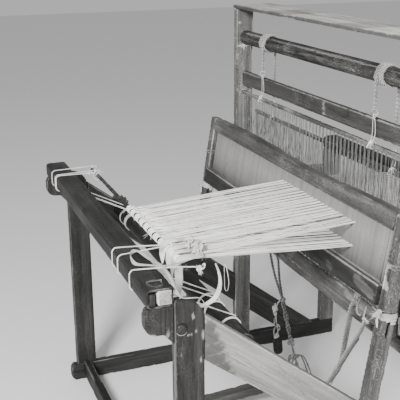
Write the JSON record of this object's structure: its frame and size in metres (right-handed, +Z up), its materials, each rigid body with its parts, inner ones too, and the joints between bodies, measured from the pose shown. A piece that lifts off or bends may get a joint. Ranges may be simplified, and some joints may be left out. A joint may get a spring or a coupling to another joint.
{
  "type": "treadle floor loom",
  "caption": "Wooden treadle floor loom with two string-heddle shafts on a counterbalance roller, a swinging batten with reed, two beams and a tied warp.",
  "frame": {"origin": "middle of the floor area, on the floor", "axes": "+X to the weaver's right, +Y from the weaver to the back of the loom, +Z up"},
  "size_m": [1.21, 1.0986, 1.286],
  "materials": {
    "dark_wood": "dark aged wood, worn edges",
    "aged_wood": "aged grey-brown wood, worn edges",
    "pale_wood": "worn pale wood",
    "iron": "rusty wrought iron",
    "cotton_cord": "undyed cotton cord",
    "reed_cane": "cane dents, dusty"
  },
  "bodies": {
    "frame": {"sill_left": "dark_wood", "sill_right": "dark_wood", "front_post_left": "aged_wood", "front_post_right": "aged_wood", "side_rail_left": "pale_wood", "side_rail_right": "pale_wood", "castle_post_left": "dark_wood", "castle_post_right": "dark_wood", "rear_post_left": "dark_wood", "rear_post_right": "dark_wood", "rear_side_rails": "dark_wood", "castle_board": "aged_wood", "cross_rail": "aged_wood", "breast_beam": "aged_wood", "beam_brackets": "aged_wood", "beam_end_blocks": "pale_wood", "beam_staple": "iron", "back_beam": "dark_wood", "front_stretcher": "dark_wood", "rear_stretcher": "dark_wood", "joint_pegs": "pale_wood", "post_plugs": "pale_wood", "pawl_pins": "iron", "batten_pins": "iron", "treadle_mount": "iron", "apron_rod": "pale_wood", "apron_cords": "cotton_cord", "warp_bunches": "cotton_cord", "warp_front": "cotton_cord", "warp_back": "cotton_cord"},
    "batten": {"sword_left": "aged_wood", "sword_right": "aged_wood", "hand_tree": "aged_wood", "race_board": "aged_wood", "reed": "reed_cane", "rag_lashings": "cotton_cord"},
    "roller": {"lift_roller": "aged_wood", "roller_wraps": "cotton_cord"},
    "front_shaft": {"front_heddle_bar": "pale_wood", "front_foot_bar": "pale_wood", "front_stiles": "pale_wood", "front_heddles": "cotton_cord", "front_hangers": "cotton_cord", "front_tie_rope": "cotton_cord"},
    "back_shaft": {"back_heddle_bar": "pale_wood", "back_foot_bar": "pale_wood", "back_stiles": "pale_wood", "back_heddles": "cotton_cord", "back_hangers": "cotton_cord", "back_tie_rope": "cotton_cord"},
    "right_treadle": {"right_treadle": "aged_wood"},
    "left_treadle": {"left_treadle": "aged_wood"},
    "cloth_beam": {"cloth_beam": "dark_wood", "cloth_wraps": "cotton_cord", "cloth_ratchet": "iron"},
    "cloth_pawl": {"cloth_pawl": "iron"},
    "warp_beam": {"warp_beam": "dark_wood", "warp_roll": "cotton_cord", "warp_ratchet": "iron"},
    "warp_pawl": {"warp_pawl": "iron"}
  },
  "joints": [
    {"name": "batten_swing", "type": "hinge", "parent": "frame", "child": "batten", "pos_m": [0, -0.06335, 0.032], "axis": [1, 0, 0], "range_deg": [-1.8, 22]},
    {"name": "roller_turn", "type": "hinge", "parent": "frame", "child": "roller", "pos_m": [0, 0.15665, 1.178], "axis": [1, 0, 0], "range_deg": [0, 154.2]},
    {"name": "front_shaft_lift", "type": "slide", "parent": "frame", "child": "front_shaft", "axis": [0, 0, 1], "range_m": [-0.0702, 0], "deforming": ["front_hangers", "warp_front"]},
    {"name": "back_shaft_lift", "type": "slide", "parent": "frame", "child": "back_shaft", "axis": [0, 0, 1], "range_m": [0, 0.0702], "deforming": ["back_hangers", "warp_back"]},
    {"name": "right_treadle_press", "type": "hinge", "parent": "frame", "child": "right_treadle", "pos_m": [0.132, -0.41335, 0.046], "axis": [1, 0, 0], "range_deg": [-7.4, 0]},
    {"name": "left_treadle_press", "type": "hinge", "parent": "frame", "child": "left_treadle", "pos_m": [-0.132, -0.41335, 0.046], "axis": [1, 0, 0], "range_deg": [0, 6.7]},
    {"name": "cloth_beam_turn", "type": "hinge", "parent": "frame", "child": "cloth_beam", "pos_m": [0, -0.30335, 0.62], "axis": [1, 0, 0], "continuous": true},
    {"name": "cloth_pawl_lift", "type": "hinge", "parent": "frame", "child": "cloth_pawl", "pos_m": [-0.566, -0.36917, 0.658], "axis": [1, 0, 0], "range_deg": [0, 90]},
    {"name": "warp_beam_turn", "type": "hinge", "parent": "frame", "child": "warp_beam", "pos_m": [0, 0.50065, 0.43], "axis": [1, 0, 0], "continuous": true},
    {"name": "warp_pawl_lift", "type": "hinge", "parent": "frame", "child": "warp_pawl", "pos_m": [-0.566, 0.50065, 0.506], "axis": [1, 0, 0], "range_deg": [-80, 80]}
  ],
  "couplings": [
    {"joint": "front_shaft_lift", "follows": "roller_turn", "m_per_rad": -0.026},
    {"joint": "back_shaft_lift", "follows": "roller_turn", "m_per_rad": 0.026},
    {"joint": "right_treadle_press", "follows": "roller_turn", "ratio": -0.0472},
    {"joint": "left_treadle_press", "follows": "roller_turn", "ratio": 0.0428}
  ]
}
